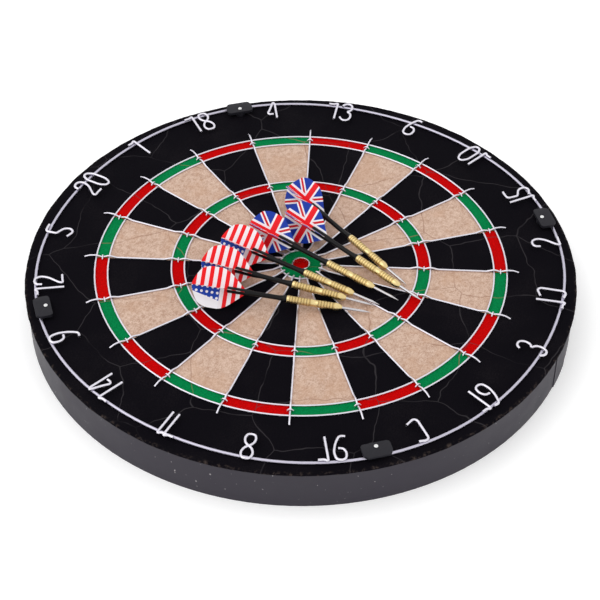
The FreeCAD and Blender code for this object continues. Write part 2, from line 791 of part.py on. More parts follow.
def buildFlight(number):
    body = newBody(f"DartFlight{number}")
    outline = newSketch(body, f"FlightOutline{number}", "XZ_Plane")
    front = -size["barrelLength"] - size["shaftLength"] + size["slotDepth"] - size["flightSheet"]
    rear = front - size["flightLength"]
    wing = size["flightWing"]
    side = [
        (rear, size["flightTail"]),
        (rear + size["flightLength"] * 0.045, wing * 0.4),
        (rear + size["flightLength"] * 0.135, wing * 0.8),
        (rear + size["flightLength"] * 0.3, wing),
        (front - size["flightLength"] * 0.42, wing),
        (front - size["flightLength"] * 0.23, wing * 0.69),
        (front, size["flightNose"]),
    ]
    drawOutline(outline, side + [(x, -z) for x, z in reversed(side)])
    sheet4 = pad(body, outline, size["flightSheet"], f"FlightPair{number}", symmetric=True)
    cross = quarterTurnPattern(body, sheet4, f"FlightCross{number}")

    def isWingCorner(edge):
        box = edge.BoundBox
        reach = max(abs(box.YMax), abs(box.YMin), abs(box.ZMax), abs(box.ZMin))
        short = edge.Length < size["flightSheet"].value * 1.5
        return short and reach > wing.value - 0.01

    roundEdges(body, cross, size["flightRound"], f"FlightCornerRound{number}", isWingCorner)
    return body


def dartPlacement(place):
    """Barrel and flight just clear of the wires, wings at 45 degrees to the face."""
    noseX, noseY, heading = place
    wireTop = 2 * size["spiderWireRadius"].value + size["dartClearance"].value
    noseHeight = face.value + wireTop + size["barrelRadius"].value
    wingReach = (size["flightWing"].value + size["flightSheet"].value / 2) * math.sin(math.pi / 4)
    crest = 4 * size["spiderWireRadius"].value + size["dartClearance"].value + 0.1
    wingHeight = face.value + crest + wingReach
    pitch = math.degrees(math.asin((wingHeight - noseHeight) / size["flightRest"].value))
    turn = FreeCAD.Rotation(FreeCAD.Vector(0, 0, 1), heading)
    tilt = FreeCAD.Rotation(FreeCAD.Vector(0, 1, 0), pitch)
    roll = FreeCAD.Rotation(FreeCAD.Vector(1, 0, 0), 45)
    return FreeCAD.Placement(
        FreeCAD.Vector(noseX, noseY, noseHeight), turn.multiply(tilt).multiply(roll)
    )


def buildDarts():
    for number, place in enumerate(DART_PLACES, start=1):
        placement = dartPlacement(place)
        for build, piece in (
            (buildPoint, "point"), (buildBarrel, "barrel"), (buildShaft, "shaft"),
            (buildFlight, "flight"),
        ):
            body = build(number)
            body.Placement = placement
            keep(body, f"dart_{number}_{piece}")


# ---------------------------------------------------------------- build, check and write

buildBackBoard()
buildSisalDisc()
buildOuterBand()
buildRoundWires()
buildBullCollar()
buildRadialWires()
buildStaples()
buildNumberRing()
buildNumbers()
for clipNumber, clipAngle in enumerate(CLIP_ANGLES, start=1):
    buildClip(clipNumber, clipAngle)
buildClipPins()
buildDarts()
doc.recompute()

for item in doc.Objects:
    if "Invalid" in item.State or "Error" in item.State:
        raise RuntimeError(f"{item.Label} failed: {item.State}")
for node in nodes:
    if node.Shape.isNull() or not node.Shape.isValid() or not node.Shape.Solids:
        raise RuntimeError(f"{node.Label} has no valid solid")

os.makedirs("parts", exist_ok=True)
for node in nodes:
    node.Shape.exportStep(f"parts/{node.Label}.step")
print(f"{len(nodes)} sub-parts written")
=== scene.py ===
import math

import bpy
from mathutils import Matrix, Vector, noise


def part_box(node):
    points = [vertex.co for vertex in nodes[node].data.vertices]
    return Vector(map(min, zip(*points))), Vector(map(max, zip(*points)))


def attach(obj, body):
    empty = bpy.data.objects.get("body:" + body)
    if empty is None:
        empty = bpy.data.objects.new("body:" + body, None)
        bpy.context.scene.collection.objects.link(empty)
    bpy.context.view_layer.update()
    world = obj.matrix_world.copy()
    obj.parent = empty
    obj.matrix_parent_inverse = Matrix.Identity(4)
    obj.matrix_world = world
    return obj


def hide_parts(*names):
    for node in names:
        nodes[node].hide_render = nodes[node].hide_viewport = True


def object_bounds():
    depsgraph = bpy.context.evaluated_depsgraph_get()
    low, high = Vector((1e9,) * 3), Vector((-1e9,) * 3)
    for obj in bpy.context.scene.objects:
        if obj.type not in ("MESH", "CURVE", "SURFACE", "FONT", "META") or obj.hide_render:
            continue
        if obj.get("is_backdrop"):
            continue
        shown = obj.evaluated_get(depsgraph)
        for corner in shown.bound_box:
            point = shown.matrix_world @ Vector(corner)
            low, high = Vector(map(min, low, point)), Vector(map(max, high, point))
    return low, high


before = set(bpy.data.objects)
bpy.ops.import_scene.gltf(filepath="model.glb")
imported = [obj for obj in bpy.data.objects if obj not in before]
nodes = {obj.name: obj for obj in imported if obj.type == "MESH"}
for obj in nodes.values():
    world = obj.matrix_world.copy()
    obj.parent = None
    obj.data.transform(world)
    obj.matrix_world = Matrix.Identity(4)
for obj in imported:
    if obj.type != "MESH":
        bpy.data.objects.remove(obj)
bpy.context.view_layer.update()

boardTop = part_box("sisal_disc")[1].z  # the playing face
print("frame loaded")


# small helpers for materials

def rgb(red, green, blue):
    # screen colour, 0 to 255, to the linear colour that a shader takes
    return [((c / 255 + 0.055) / 1.055) ** 2.4 if c > 10 else c / 3294.6
            for c in (red, green, blue)] + [1.0]


def tint(colour, share):
    return [min(1, c * share) for c in colour[:3]] + [1.0]


def newMaterial(name, roughness=0.5, metallic=0.0, colour=None):
    material = bpy.data.materials.new(name)
    material.use_nodes = True
    tree = material.node_tree
    shader = tree.nodes["Principled BSDF"]
    shader.inputs["Roughness"].default_value = roughness
    shader.inputs["Metallic"].default_value = metallic
    if colour is not None:
        shader.inputs["Base Color"].default_value = colour
        material.diffuse_color = colour
    return material, tree, shader


def plug(tree, socket, value):
    if isinstance(value, bpy.types.NodeSocket):
        tree.links.new(value, socket)
    else:
        socket.default_value = value


def calc(tree, operation, first, second=0.0, third=0.0):
    node = tree.nodes.new("ShaderNodeMath")
    node.operation = operation
    for socket, value in zip(node.inputs, (first, second, third)):
        plug(tree, socket, value)
    return node.outputs[0]


def mixColour(tree, factor, first, second, blend="MIX"):
    node = tree.nodes.new("ShaderNodeMix")
    node.data_type = "RGBA"
    node.blend_type = blend
    plug(tree, node.inputs[0], factor)
    plug(tree, node.inputs[6], first)
    plug(tree, node.inputs[7], second)
    return node.outputs[2]


def spread(tree, value, low, high, lowOut=0.0, highOut=1.0):
    node = tree.nodes.new("ShaderNodeMapRange")
    node.interpolation_type = "SMOOTHSTEP"
    for socket, number in zip(node.inputs, (value, low, high, lowOut, highOut)):
        plug(tree, socket, number)
    return node.outputs[0]


def grain(tree, vector, scale, detail=3.0, roughness=0.6):
    node = tree.nodes.new("ShaderNodeTexNoise")
    plug(tree, node.inputs["Vector"], vector)
    node.inputs["Scale"].default_value = scale
    node.inputs["Detail"].default_value = detail
    node.inputs["Roughness"].default_value = roughness
    return node.outputs["Fac"]


def objectPlace(tree):
    return tree.nodes.new("ShaderNodeTexCoord").outputs["Object"]


def storedPlace(tree, name):
    node = tree.nodes.new("ShaderNodeAttribute")
    node.attribute_name = name
    return node.outputs["Vector"]


def splitPlace(tree, vector):
    node = tree.nodes.new("ShaderNodeSeparateXYZ")
    plug(tree, node.inputs[0], vector)
    return node.outputs


def addBump(tree, shader, height, strength, distance):
    node = tree.nodes.new("ShaderNodeBump")
    node.inputs["Strength"].default_value = strength
    node.inputs["Distance"].default_value = distance
    plug(tree, node.inputs["Height"], height)
    tree.links.new(node.outputs[0], shader.inputs["Normal"])


def between(tree, value, low, high):
    return calc(tree, "MULTIPLY", calc(tree, "GREATER_THAN", value, low),
                calc(tree, "LESS_THAN", value, high))


# small helpers for modelling

def clearSelection():
    if bpy.context.mode != "OBJECT":
        bpy.ops.object.mode_set(mode="OBJECT")
    bpy.ops.object.select_all(action="DESELECT")


def pick(piece):
    clearSelection()
    bpy.context.view_layer.objects.active = piece
    piece.select_set(True)


def applyModifiers(piece):
    pick(piece)
    for modifier in list(piece.modifiers):
        bpy.ops.object.modifier_apply(modifier=modifier.name)


def smoothByAngle(piece, degrees=35):
    pick(piece)
    bpy.ops.object.shade_smooth_by_angle(angle=math.radians(degrees))
    piece.select_set(False)


def turnedPiece(name, profile, segments, closeStart=True, closeEnd=True):
    # a lathe piece along X: profile is a list of (place along X, radius)
    clearSelection()
    start, radius = profile[0]
    bpy.ops.mesh.primitive_circle_add(vertices=segments, radius=radius, location=(start, 0, 0),
                                      rotation=(0, math.pi / 2, 0),
                                      fill_type="NGON" if closeStart else "NOTHING")
    piece = bpy.context.active_object
    piece.name = name
    bpy.ops.object.transform_apply(location=True, rotation=True, scale=True)
    bpy.ops.object.mode_set(mode="EDIT")
    bpy.ops.mesh.select_all(action="SELECT")
    for along, wide in profile[1:]:
        if closeStart or along != profile[1][0]:
            bpy.ops.mesh.extrude_region_move(TRANSFORM_OT_translate={"value": (along - start, 0, 0)})
        else:
            bpy.ops.mesh.extrude_edges_move(TRANSFORM_OT_translate={"value": (along - start, 0, 0)})
        grow = wide / radius
        bpy.ops.transform.resize(value=(1, grow, grow), center_override=(along, 0, 0))
        start, radius = along, wide
    if not closeEnd:
        bpy.ops.mesh.delete(type="ONLY_FACE")
    bpy.ops.mesh.select_all(action="SELECT")
    bpy.ops.mesh.remove_doubles(threshold=1e-6)
    bpy.ops.mesh.normals_make_consistent(inside=False)
    bpy.ops.object.mode_set(mode="OBJECT")
    return piece


def storePlace(piece, name):
    # keeps each vertex's own place, so a pattern can follow the piece wherever it is put
    store = piece.data.attributes.new(name, "FLOAT_VECTOR", "POINT")
    for vertex, item in zip(piece.data.vertices, store.data):
        item.vector = vertex.co


def putCopy(pattern, name, matrix, body, slotName, *replaced):
    piece = bpy.data.objects.new(name, pattern.data.copy())
    bpy.context.scene.collection.objects.link(piece)
    piece.data.transform(matrix)
    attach(piece, body)
    if replaced:
        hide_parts(*replaced)
    return piece


def discard(piece):
    mesh = piece.data
    bpy.data.objects.remove(piece)
    bpy.data.meshes.remove(mesh)


# playing face: dyed sisal

faceLook = {
    "beds": 20,
    "bull": 0.00635,  # radius of the inner bull
    "outerBull": 0.0174,
    "treble": (0.0963, 0.107),
    "double": (0.1593, 0.170),
    "black": rgb(9, 7, 13),
    "blackWorn": rgb(22, 19, 23),
    "creamLight": rgb(217, 190, 172),
    "creamDark": rgb(170, 136, 116),
    "red": rgb(204, 0, 2),
    "redDeep": rgb(164, 0, 0),
    "green": rgb(0, 132, 72),
    "greenDeep": rgb(0, 104, 56),
    "seamOnBlack": rgb(60, 57, 60),
    "seamOnCream": rgb(150, 112, 94),
    "worn": (0.2240, 0.2268),
    "dust": rgb(72, 62, 58),
    "bundle": 13.5,  # sisal bundles per metre
    "edgeWobble": 0.0005,
}


def sisalMaterial(look):
    material, tree, shader = newMaterial("dyedSisal", roughness=0.88)
    shader.inputs["Specular IOR Level"].default_value = 0.05
    place = objectPlace(tree)
    x, y, _ = splitPlace(tree, place)
    fibre = grain(tree, place, 900, 3, 0.7)
    blotch = grain(tree, place, 330, 3, 0.6)
    cloud = grain(tree, place, 22, 3, 0.5)

    radius = calc(tree, "SQRT", calc(tree, "ADD", calc(tree, "MULTIPLY", x, x),
                                     calc(tree, "MULTIPLY", y, y)))
    bleed = calc(tree, "MULTIPLY", calc(tree, "SUBTRACT", blotch, 0.5), look["edgeWobble"])
    radius = calc(tree, "ADD", radius, bleed)
    turn = calc(tree, "ARCTAN2", x, y)
    bed = calc(tree, "FLOOR", calc(tree, "MULTIPLY_ADD", turn, look["beds"] / math.tau, 0.5))
    odd = calc(tree, "FLOORED_MODULO", bed, 2.0)

    # cream fibres, dark flecks and a few bruises
    creamMix = spread(tree, calc(tree, "MULTIPLY_ADD", fibre, 0.6, calc(tree, "MULTIPLY", blotch, 0.5)),
                      0.34, 0.74)
    cream = mixColour(tree, creamMix, look["creamDark"], look["creamLight"])
    bruise = spread(tree, grain(tree, place, 60, 5, 0.75), 0.62, 0.72)
    cream = mixColour(tree, calc(tree, "MULTIPLY", bruise, 0.5), cream, rgb(156, 124, 106))
    warm = spread(tree, grain(tree, place, 34, 4, 0.6), 0.46, 0.62)
    cream = mixColour(tree, calc(tree, "MULTIPLY", warm, 0.4), cream, rgb(190, 152, 126))
    black = mixColour(tree, spread(tree, calc(tree, "MULTIPLY", fibre, cloud), 0.22, 0.5),
                      look["black"], look["blackWorn"])
    red = mixColour(tree, spread(tree, fibre, 0.3, 0.7), look["redDeep"], look["red"])
    green = mixColour(tree, spread(tree, fibre, 0.3, 0.7), look["greenDeep"], look["green"])

    plain = mixColour(tree, odd, black, cream)
    scoring = mixColour(tree, odd, red, green)
    inBand = calc(tree, "ADD", between(tree, radius, *look["treble"]),
                  between(tree, radius, *look["double"]))
    colour = mixColour(tree, inBand, plain, scoring)
    colour = mixColour(tree, calc(tree, "LESS_THAN", radius, look["outerBull"]), colour, green)
    colour = mixColour(tree, calc(tree, "LESS_THAN", radius, look["bull"]), colour, red)
    colour = mixColour(tree, calc(tree, "GREATER_THAN", radius, look["double"][1]), colour, black)

    # thin pale lines between the bundles
    drift = tree.nodes.new("ShaderNodeTexNoise")
    plug(tree, drift.inputs["Vector"], place)
    drift.inputs["Scale"].default_value = 18
    drift.inputs["Detail"].default_value = 3
    shift = tree.nodes.new("ShaderNodeVectorMath")
    shift.operation = "MULTIPLY_ADD"
    plug(tree, shift.inputs[0], drift.outputs["Color"])
    shift.inputs[1].default_value = (0.03, 0.03, 0)
    plug(tree, shift.inputs[2], place)
    cells = tree.nodes.new("ShaderNodeTexVoronoi")
    cells.voronoi_dimensions = "2D"
    cells.feature = "DISTANCE_TO_EDGE"
    plug(tree, cells.inputs["Vector"], shift.outputs[0])
    cells.inputs["Scale"].default_value = look["bundle"]
    seam = spread(tree, cells.outputs["Distance"], 0.002, 0.0085, 1.0, 0.0)
    fade = spread(tree, grain(tree, place, 28, 2, 0.5), 0.3, 0.52, 0.15, 1.0)
    seam = calc(tree, "MULTIPLY", seam, fade)
    dark = calc(tree, "MAXIMUM", calc(tree, "SUBTRACT", 1.0, odd),
                calc(tree, "GREATER_THAN", radius, look["double"][1]))
    seamColour = mixColour(tree, dark, look["seamOnCream"], look["seamOnBlack"])
    colour = mixColour(tree, calc(tree, "MULTIPLY", seam, 0.6), colour, seamColour)
    # the cut edge behind the ring is scuffed and dusty
    edge = spread(tree, radius, look["worn"][0], look["worn"][1], 0.0, 0.75)
    scuff = spread(tree, grain(tree, place, 260, 4, 0.75), 0.5, 0.68)
    colour = mixColour(tree, calc(tree, "MULTIPLY", edge, scuff), colour, look["dust"])
    tree.links.new(colour, shader.inputs["Base Color"])

    height = calc(tree, "ADD", calc(tree, "MULTIPLY", fibre, 0.7), calc(tree, "MULTIPLY", blotch, 0.6))
    height = calc(tree, "SUBTRACT", height, calc(tree, "MULTIPLY", seam, 0.8))
    addBump(tree, shader, height, 0.5, 0.0006)
    return material


rimShape = {
    "segments": 720,
    "ragged": 0.0007,  # how deep the rim is frayed
    "raggedCoarse": 90,  # noise per metre
    "raggedFine": 400,
    "roundSteps": 5,
    "roundness": 0.0016,
    "inset": 0.0002,
    "crown": 0.0001,  # drop of the face towards the rim
    "bullHole": 0.0066,
    "bullSeat": 0.0064,
    "bullSink": 0.0026,
}


def sinkBull(piece, shape):
    # the face inside the collar sits a little lower than the rest
    pick(piece)
    top = max(vertex.co.z for vertex in piece.data.vertices)
    bpy.ops.object.mode_set(mode="EDIT")
    bpy.ops.mesh.select_all(action="DESELECT")
    bpy.ops.object.mode_set(mode="OBJECT")
    for polygon in piece.data.polygons:
        polygon.select = polygon.normal.z > 0.99 and polygon.center.xy.length < 0.001
    bpy.ops.object.mode_set(mode="EDIT")
    face = piece.data
    rimNow = max(vertex.co.xy.length for vertex in face.vertices if vertex.co.z > top - 1e-6)
    for wide, sink in ((shape["bullHole"], 0.0), (shape["bullSeat"], shape["bullSink"])):
        bpy.ops.mesh.extrude_region_move(TRANSFORM_OT_translate={"value": (0, 0, -sink)})
        bpy.ops.transform.resize(value=(wide / rimNow, wide / rimNow, 1), center_override=(0, 0, top))
        rimNow = wide
    bpy.ops.object.mode_set(mode="OBJECT")


def buildSisal(shape):
    low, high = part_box("sisal_disc")
    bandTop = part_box("outer_band")[1].z
    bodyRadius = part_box("back_board")[1].x
    rim = high.x - shape["inset"]
    roundness = shape["roundness"]
    profile = [(low.z, bodyRadius), (bandTop, bodyRadius), (bandTop + 0.0003, rim - 0.0012)]
    profile.append((bandTop + 0.0008, rim))
    for step in range(shape["roundSteps"] + 1):
        bend = math.radians(90 * step / shape["roundSteps"])
        profile.append((high.z - roundness + roundness * math.sin(bend) - shape["crown"],
                        rim - roundness + roundness * math.cos(bend)))
    profile.append((high.z - shape["crown"], rim - 0.005))
    profile.append((high.z, rim - 0.008))
    piece = turnedPiece("sisalFace", profile, shape["segments"])
    piece.data.transform(Matrix.Rotation(-math.pi / 2, 4, "Y"))
    for vertex in piece.data.vertices:
        place = vertex.co
        if place.z < bandTop + 0.0002 or place.z > high.z - 0.00005:
            continue
        coarse = (noise.noise(place * shape["raggedCoarse"])
                  + 0.6 * noise.noise(place * shape["raggedFine"]))
        drop = shape["ragged"] * (0.5 - 0.5 * coarse)
        flat = Vector((place.x, place.y, 0)).normalized()
        vertex.co = place - flat * drop - Vector((0, 0, 0.3 * drop))
    sinkBull(piece, shape)
    smoothByAngle(piece, 50)
    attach(piece, "board")
    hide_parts("sisal_disc")
    piece.data.materials.clear()
    piece.data.materials.append(sisalMaterial(faceLook))
    return piece


buildSisal(rimShape)
print("sisal done")


# finishes for the metal, plastic and board

finishes = {
    "wireColour": rgb(240, 237, 247),
    "ringColour": rgb(208, 204, 220),
    "wireRoughness": 0.34,
    "bandColour": rgb(44, 40, 50),
    "clipColour": rgb(32, 31, 37),
    "boardColour": rgb(128, 98, 72),
    "brassColour": rgb(240, 216, 156),
    "nylonColour": rgb(9, 8, 10),
    "pointColour": rgb(214, 211, 214),
}


def wireMaterial(name, colour, roughness, metallic=1.0):
    material, tree, shader = newMaterial(name, roughness, metallic, colour)
    place = objectPlace(tree)
    dull = grain(tree, place, 300, 3, 0.6)
    tone = mixColour(tree, dull, tint(colour, 0.82), colour)
    tree.links.new(tone, shader.inputs["Base Color"])
    rough = spread(tree, dull, 0.3, 0.7, roughness * 0.8, roughness * 1.35)
    tree.links.new(rough, shader.inputs["Roughness"])
    addBump(tree, shader, grain(tree, place, 2200, 2, 0.5), 0.15, 0.00005)
    return material


def bandMaterial(colour):
    material, tree, shader = newMaterial("paintedBand", 0.5, 0.0, colour)
    shader.inputs["Specular IOR Level"].default_value = 0.28
    place = objectPlace(tree)
    patch = grain(tree, place, 16, 4, 0.6)
    tone = mixColour(tree, patch, tint(colour, 0.82), tint(colour, 1.15))
    speck = spread(tree, grain(tree, place, 420, 1, 0.4), 0.76, 0.8)
    tone = mixColour(tree, calc(tree, "MULTIPLY", speck, 0.6), tone, rgb(190, 186, 186))
    tree.links.new(tone, shader.inputs["Base Color"])
    tree.links.new(spread(tree, patch, 0.2, 0.8, 0.38, 0.56), shader.inputs["Roughness"])
    addBump(tree, shader, grain(tree, place, 45, 3, 0.5), 0.25, 0.0006)
    return material


def plasticMaterial(name, colour, roughness, texture=1400):
    material, tree, shader = newMaterial(name, roughness, 0.0, colour)
    shader.inputs["Specular IOR Level"].default_value = 0.2
    place = objectPlace(tree)
    pebble = grain(tree, place, texture, 2, 0.5)
    tone = mixColour(tree, grain(tree, place, 200, 3, 0.6), tint(colour, 0.85), tint(colour, 1.18))
    tree.links.new(tone, shader.inputs["Base Color"])
    addBump(tree, shader, pebble, 0.2, 0.0001)
    return material


def fibreBoardMaterial(colour):
    material, tree, shader = newMaterial("pressedBoard", 0.8, 0.0, colour)
    place = objectPlace(tree)
    flake = tree.nodes.new("ShaderNodeTexVoronoi")
    plug(tree, flake.inputs["Vector"], place)
    flake.inputs["Scale"].default_value = 420
    chip = splitPlace(tree, flake.outputs["Color"])[0]
    tone = mixColour(tree, chip, tint(colour, 0.55), tint(colour, 1.5))
    tone = mixColour(tree, calc(tree, "MULTIPLY", grain(tree, place, 30, 4, 0.6), 0.5), tone, colour)
    tree.links.new(tone, shader.inputs["Base Color"])
    addBump(tree, shader, chip, 0.3, 0.0003)
    return material


def setMaterial(piece, material):
    piece.data.materials.clear()
    piece.data.materials.append(material)
    for polygon in piece.data.polygons:
        polygon.material_index = 0


spiderMetal = wireMaterial("galvanisedWire", finishes["wireColour"], finishes["wireRoughness"])
collarMetal = wireMaterial("collarSteel", rgb(235, 235, 238), 0.2)
pinMetal = wireMaterial("pinSteel", rgb(245, 245, 245), 0.22)
ringMetal = wireMaterial("ringWire", finishes["ringColour"], finishes["wireRoughness"])
for nodeName in ("double_wires", "treble_wires", "outer_bull_wire", "radial_wires", "staples"):
    setMaterial(nodes[nodeName], spiderMetal)
setMaterial(nodes["number_ring"], ringMetal)
for nodeName in nodes:
    if nodeName.startswith("number_") and nodeName != "number_ring":
        setMaterial(nodes[nodeName], spiderMetal)
setMaterial(nodes["bull_collar"], collarMetal)
setMaterial(nodes["clip_pins"], pinMetal)
setMaterial(nodes["outer_band"], bandMaterial(finishes["bandColour"]))
setMaterial(nodes["back_board"], fibreBoardMaterial(finishes["boardColour"]))
print("board finishes done")


# clips: moulded plates with softened edges

clipShape = {"edge": 0.0005, "segments": 3}


def buildClips(shape):
    plastic = plasticMaterial("clipPlastic", finishes["clipColour"], 0.48)
    for number in range(1, 5):
        nodeName = f"clip_{number}"
        piece = bpy.data.objects.new(f"clipPlate{number}", nodes[nodeName].data.copy())
        bpy.context.scene.collection.objects.link(piece)
        pick(piece)
        bpy.ops.object.mode_set(mode="EDIT")
        bpy.ops.mesh.select_all(action="SELECT")
        bpy.ops.mesh.remove_doubles(threshold=1e-6)
        bpy.ops.mesh.dissolve_limited(angle_limit=math.radians(1))
        bpy.ops.object.mode_set(mode="OBJECT")
        bevel = piece.modifiers.new("soften", "BEVEL")
        bevel.width = shape["edge"]
        bevel.segments = shape["segments"]
        bevel.limit_method = "ANGLE"
        bevel.angle_limit = math.radians(50)
        applyModifiers(piece)
        smoothByAngle(piece, 40)
        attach(piece, f"clip_{number}_body")
        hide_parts(nodeName)
        setMaterial(piece, plastic)


buildClips(clipShape)
print("clips done")


# darts

dartSize = {
    "barrel": 0.045,
    "barrelRadius": 0.0032,
    "noseRadius": 0.0017,
    "noseLength": 0.005,
    "waistRadius": 0.00285,
    "grooves": 12,  # ring grooves in each grip
    "grooveDepth": 0.0003,
    "ringPitch": 0.00234,
    "knurls": 30,  # round the barrel
    "waist": (-0.0255, -0.0195),  # no grip between these places
    "shaft": 0.0484,
    "shaftFlange": 0.00275,
    "shaftWaist": 0.002,
    "forkRadius": 0.0026,
    "fork": 0.015,
    "slot": 0.0145,
    "flight": 0.043,
    "wing": 0.017,
    # (share of the length from the tail, share of the full width)
    "wingOutline": [(0, 0.08), (0.02, 0.24), (0.045, 0.39), (0.09, 0.6), (0.135, 0.78), (0.2, 0.88),
                    (0.28, 0.96), (0.35, 0.985), (0.53, 0.985), (0.6, 0.94), (0.68, 0.84),
                    (0.77, 0.67), (0.95, 0.26), (1, 0.15)],
    "film": 0.0002,
    "flightRest": 0.113,
    "clearance": 0.0002,
    "wingGap": 0.0002,
    "crestGap": 0.0001,
    "wire": 0.0015,
}

# front of each barrel and the way it points, in degrees from +X
dartPlaces = [
    (0.0274, -0.0658, -108.5),
    (0.0138, -0.0848, -100.6),
    (0.0018, -0.0675, -93.4),
    (-0.0129, -0.0567, -87.3),
    (-0.0207, -0.0538, -75.3),
    (-0.0321, -0.0564, -67.4),
]


def dartMatrix(place, dart):
    noseX, noseY, heading = place
    lift = dart["wire"] + dart["clearance"]
    noseHeight = boardTop + lift + dart["barrelRadius"]
    reach = (dart["wing"] + dart["wingGap"]) * math.sin(math.pi / 4)
    crest = 2 * dart["wire"] + dart["clearance"] + dart["crestGap"]
    pitch = math.asin((boardTop + crest + reach - noseHeight) / dart["flightRest"])
    return (Matrix.Translation((noseX, noseY, noseHeight))
            @ Matrix.Rotation(math.radians(heading), 4, "Z")
            @ Matrix.Rotation(pitch, 4, "Y")
            @ Matrix.Rotation(math.radians(45), 4, "X"))


def brassMaterial(dart):
    colour = finishes["brassColour"]
    material, tree, shader = newMaterial("turnedBrass", 0.24, 1.0, colour)
    x, y, z = splitPlace(tree, storedPlace(tree, "dartPlace"))
    turn = calc(tree, "ARCTAN2", y, z)
    ridges = calc(tree, "SINE", calc(tree, "MULTIPLY", turn, dart["knurls"]))
    grip = calc(tree, "MULTIPLY",
                between(tree, x, -dart["barrel"] + 0.002, -dart["noseLength"] - 0.001),
                calc(tree, "SUBTRACT", 1.0, between(tree, x, *dart["waist"])))
    knurl = calc(tree, "MULTIPLY", calc(tree, "MULTIPLY", ridges, 0.4), grip)
    grooveShadeWave = calc(tree, "SINE", calc(tree, "MULTIPLY", x, math.tau / dart["ringPitch"]))
    addBump(tree, shader, knurl, 0.5, 0.00015)
    worn = grain(tree, objectPlace(tree), 260, 3, 0.6)
    tone = mixColour(tree, worn, tint(colour, 0.8), colour)
    # painted shade: the colour is darkened in rings along the grips, standing in for shade in the ring
    # grooves
    dark = mixColour(tree, calc(tree, "MULTIPLY", grip, spread(tree, grooveShadeWave, 0.1, -0.6, 0.0, 0.55)),
                     tone, rgb(138, 108, 56))
    tree.links.new(dark, shader.inputs["Base Color"])
    tree.links.new(spread(tree, worn, 0.3, 0.7, 0.18, 0.34), shader.inputs["Roughness"])
    return material


def barrelProfile(dart):
    radius = dart["barrelRadius"]
    waist = dart["waistRadius"]
    middle = -dart["barrel"] / 2
    points = [(0.0, 0.0011), (0.0, dart["noseRadius"] - 0.0002), (-0.0002, dart["noseRadius"])]
    for step in range(1, 5):
        share = step / 4
        points.append((-dart["noseLength"] * share,
                       dart["noseRadius"] + (radius - dart["noseRadius"]) * math.sin(share * math.pi / 2)))

    def grip(start, end):
        pitch = (end - start) / dart["grooves"]
        for index in range(dart["grooves"]):
            low = start + pitch * index
            points.append((low + pitch * 0.25, radius))
            points.append((low + pitch * 0.4, radius - dart["grooveDepth"]))
            points.append((low + pitch * 0.7, radius - dart["grooveDepth"]))
            points.append((low + pitch * 0.85, radius))

    grip(-dart["noseLength"] - 0.001, middle + 0.0025)
    points.append((middle + 0.0021, waist))
    points.append((middle - 0.0021, waist))
    grip(middle - 0.0025, -dart["barrel"] + 0.0025)
    points.append((-dart["barrel"] + 0.0012, radius))
    points.append((-dart["barrel"] + 0.0003, waist + 0.0001))
    points.append((-dart["barrel"], waist - 0.0001))
    points.append((-dart["barrel"], 0.0019))
    return points


def shaftProfile(dart):
    front = -dart["barrel"]
    rear = front - dart["shaft"]
    flange, waist, fork = dart["shaftFlange"], dart["shaftWaist"], dart["forkRadius"]
    points = [(front, 0.0017), (front, flange - 0.0002), (front - 0.0002, flange),
              (front - 0.0024, flange), (front - 0.0028, flange - 0.0003)]
    for step in range(1, 6):
        share = step / 5
        points.append((front - 0.0028 - 0.0055 * share,
                       flange - 0.0003 - (flange - 0.0003 - waist) * math.sin(share * math.pi / 2)))
    points.append((rear + dart["fork"] + 0.007, waist))
    for step in range(1, 6):
        share = step / 5
        points.append((rear + dart["fork"] + 0.007 * (1 - share),
                       waist + (fork - waist) * math.sin(share * math.pi / 2)))
    points.append((rear + 0.0006, fork))
    points.append((rear, fork - 0.0004))
    return points


def cutFork(shaft, dart):
    # four prongs with a cross of slots between them
    rear = -dart["barrel"] - dart["shaft"]
    for turn in (0, math.pi / 2):
        clearSelection()
        bpy.ops.mesh.primitive_cube_add(size=1, location=(rear + dart["slot"] / 2 - 0.001, 0, 0),
                                        rotation=(turn, 0, 0),
                                        scale=(dart["slot"] + 0.002, 0.012, 0.0006))
        blade = bpy.context.active_object
        cut = shaft.modifiers.new("slot", "BOOLEAN")
        cut.operation = "DIFFERENCE"
        cut.object = blade
        applyModifiers(shaft)
        discard(blade)


def wingShare(share, outline):
    # how wide the wing is here, from 0 to 1
    for (startX, startY), (endX, endY) in zip(outline, outline[1:]):
        if share <= endX:
            return startY + (endY - startY) * max(share - startX, 0) / (endX - startX)
    return outline[-1][1]


